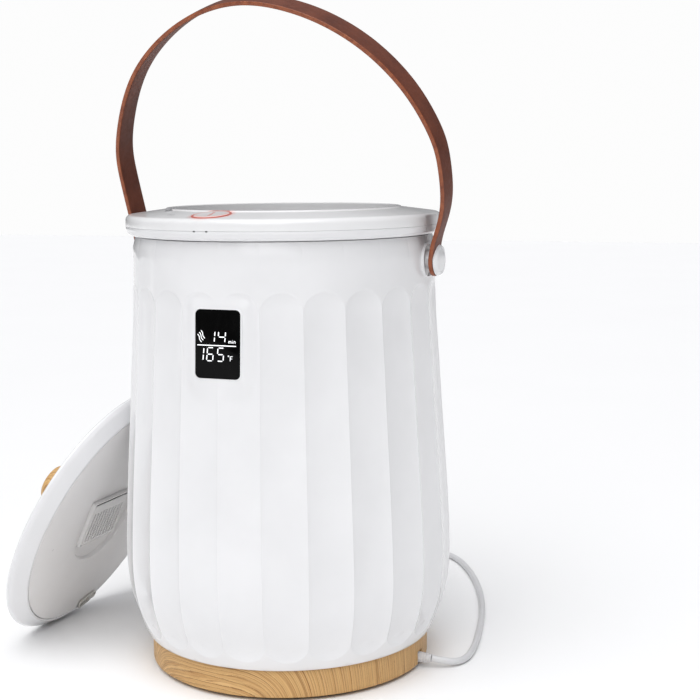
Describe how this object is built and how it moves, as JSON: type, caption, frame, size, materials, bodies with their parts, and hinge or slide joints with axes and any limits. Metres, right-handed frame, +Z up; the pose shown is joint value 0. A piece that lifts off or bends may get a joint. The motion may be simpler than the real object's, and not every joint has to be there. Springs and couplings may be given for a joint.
{
  "type": "bucket towel warmer",
  "caption": "Fluted round bucket towel warmer on a wooden base, with a hinged strap handle, touch display, power key, mains lead and a loose domed lid leaning on its side.",
  "frame": {"origin": "centre of the anti-slip pad's underside, where the bucket stands on the floor", "axes": "+Z up along the bucket's axis; -Y towards the display; the lid leans on the -X side and the lead leaves at +X"},
  "size_m": [0.4131, 0.48, 0.5696],
  "materials": {
    "gloss_white": "glossy moulded ABS",
    "liner_white": "satin moulded polypropylene",
    "oak": "light oak with a satin lacquer",
    "brown_leather": "smooth faux leather",
    "display_glass": "polished black acrylic",
    "key_ring_light": "translucent red light guide",
    "pot_coating": "light grey coated",
    "aluminium": "plain",
    "steel": "zinc plated",
    "heater_silicone": "silicone heating mat",
    "insulation_foam": "glass fibre felt",
    "dark_plastic": "black moulded nylon",
    "grey_plastic": "satin moulded nylon",
    "pad_rubber": "matt",
    "circuit_board": "solder-masked glass epoxy",
    "cord_grey": "satin PVC",
    "fragrance_felt": "pressed felt"
  },
  "bodies": {
    "base": {"anti_slip_pad": "pad_rubber", "base_ring": "oak", "bottom_cover": "dark_plastic", "bottom_heater": "aluminium", "bottom_insulation": "insulation_foam", "bottom_screw_1": "steel", "bottom_screw_2": "steel", "bottom_screw_3": "steel", "bottom_screw_4": "steel", "chassis_plate": "dark_plastic", "cord_coil": "cord_grey", "cord_strain_relief": "cord_grey", "cord_tube": "cord_grey", "display_bezel": "gloss_white", "display_board": "circuit_board", "display_lead": "cord_grey", "display_window": "display_glass", "heater_lead": "heater_silicone", "inner_pot": "pot_coating", "key_board": "circuit_board", "key_switch": "dark_plastic", "left_pivot_boss": "gloss_white", "left_rivet": "gloss_white", "left_rivet_nut": "steel", "lid_switch": "dark_plastic", "outer_shell": "gloss_white", "plug_blade_left": "steel", "plug_blade_right": "steel", "plug_body": "cord_grey", "pot_heater_band": "heater_silicone", "pot_insulation": "insulation_foam", "power_board": "circuit_board", "power_key_ring": "key_ring_light", "power_transformer": "dark_plastic", "right_pivot_boss": "gloss_white", "right_rivet": "gloss_white", "right_rivet_nut": "steel", "rim_band": "gloss_white", "temperature_sensor": "steel", "terminal_block": "cord_grey", "thermal_fuse": "cord_grey", "thermostat": "dark_plastic", "top_ring": "gloss_white"},
    "lid": {"bracket_screw": "steel", "fragrance_pad": "fragrance_felt", "fragrance_tray": "liner_white", "knob_screw": "steel", "lid_bracket": "steel", "lid_insulation": "insulation_foam", "lid_knob": "oak", "lid_liner": "liner_white", "lid_shell": "gloss_white"},
    "fragrance_door": {"fragrance_cover": "liner_white"},
    "handle": {"handle_strap": "brown_leather"},
    "power_key": {"power_key_cap": "gloss_white"},
    "lid_plunger": {"lid_switch_plunger": "grey_plastic"}
  },
  "joints": [
    {"name": "handle_swing", "type": "hinge", "parent": "base", "child": "handle", "pos_m": [0, 0, 0.353], "axis": [1, 0, 0], "range_deg": [-153, 117]},
    {"name": "power_key_press", "type": "slide", "parent": "base", "child": "power_key", "axis": [0.0128, 0.1218, -0.9925], "range_m": [0, 0.001], "stiffness_N_per_m": 900},
    {"name": "lid_switch_press", "type": "slide", "parent": "base", "child": "lid_plunger", "axis": [0.0827, 0.0903, -0.9925], "range_m": [0, 0.002], "stiffness_N_per_m": 300},
    {"name": "lid_lift", "type": "slide", "parent": "base", "child": "lid", "axis": [-0.5, 0, 0.866], "range_m": [0, 0.25]},
    {"name": "fragrance_cover_open", "type": "hinge", "parent": "lid", "child": "fragrance_door", "pos_m": [-0.19851, 0, 0.08587], "axis": [0, 1, 0], "range_deg": [0, 100]}
  ]
}
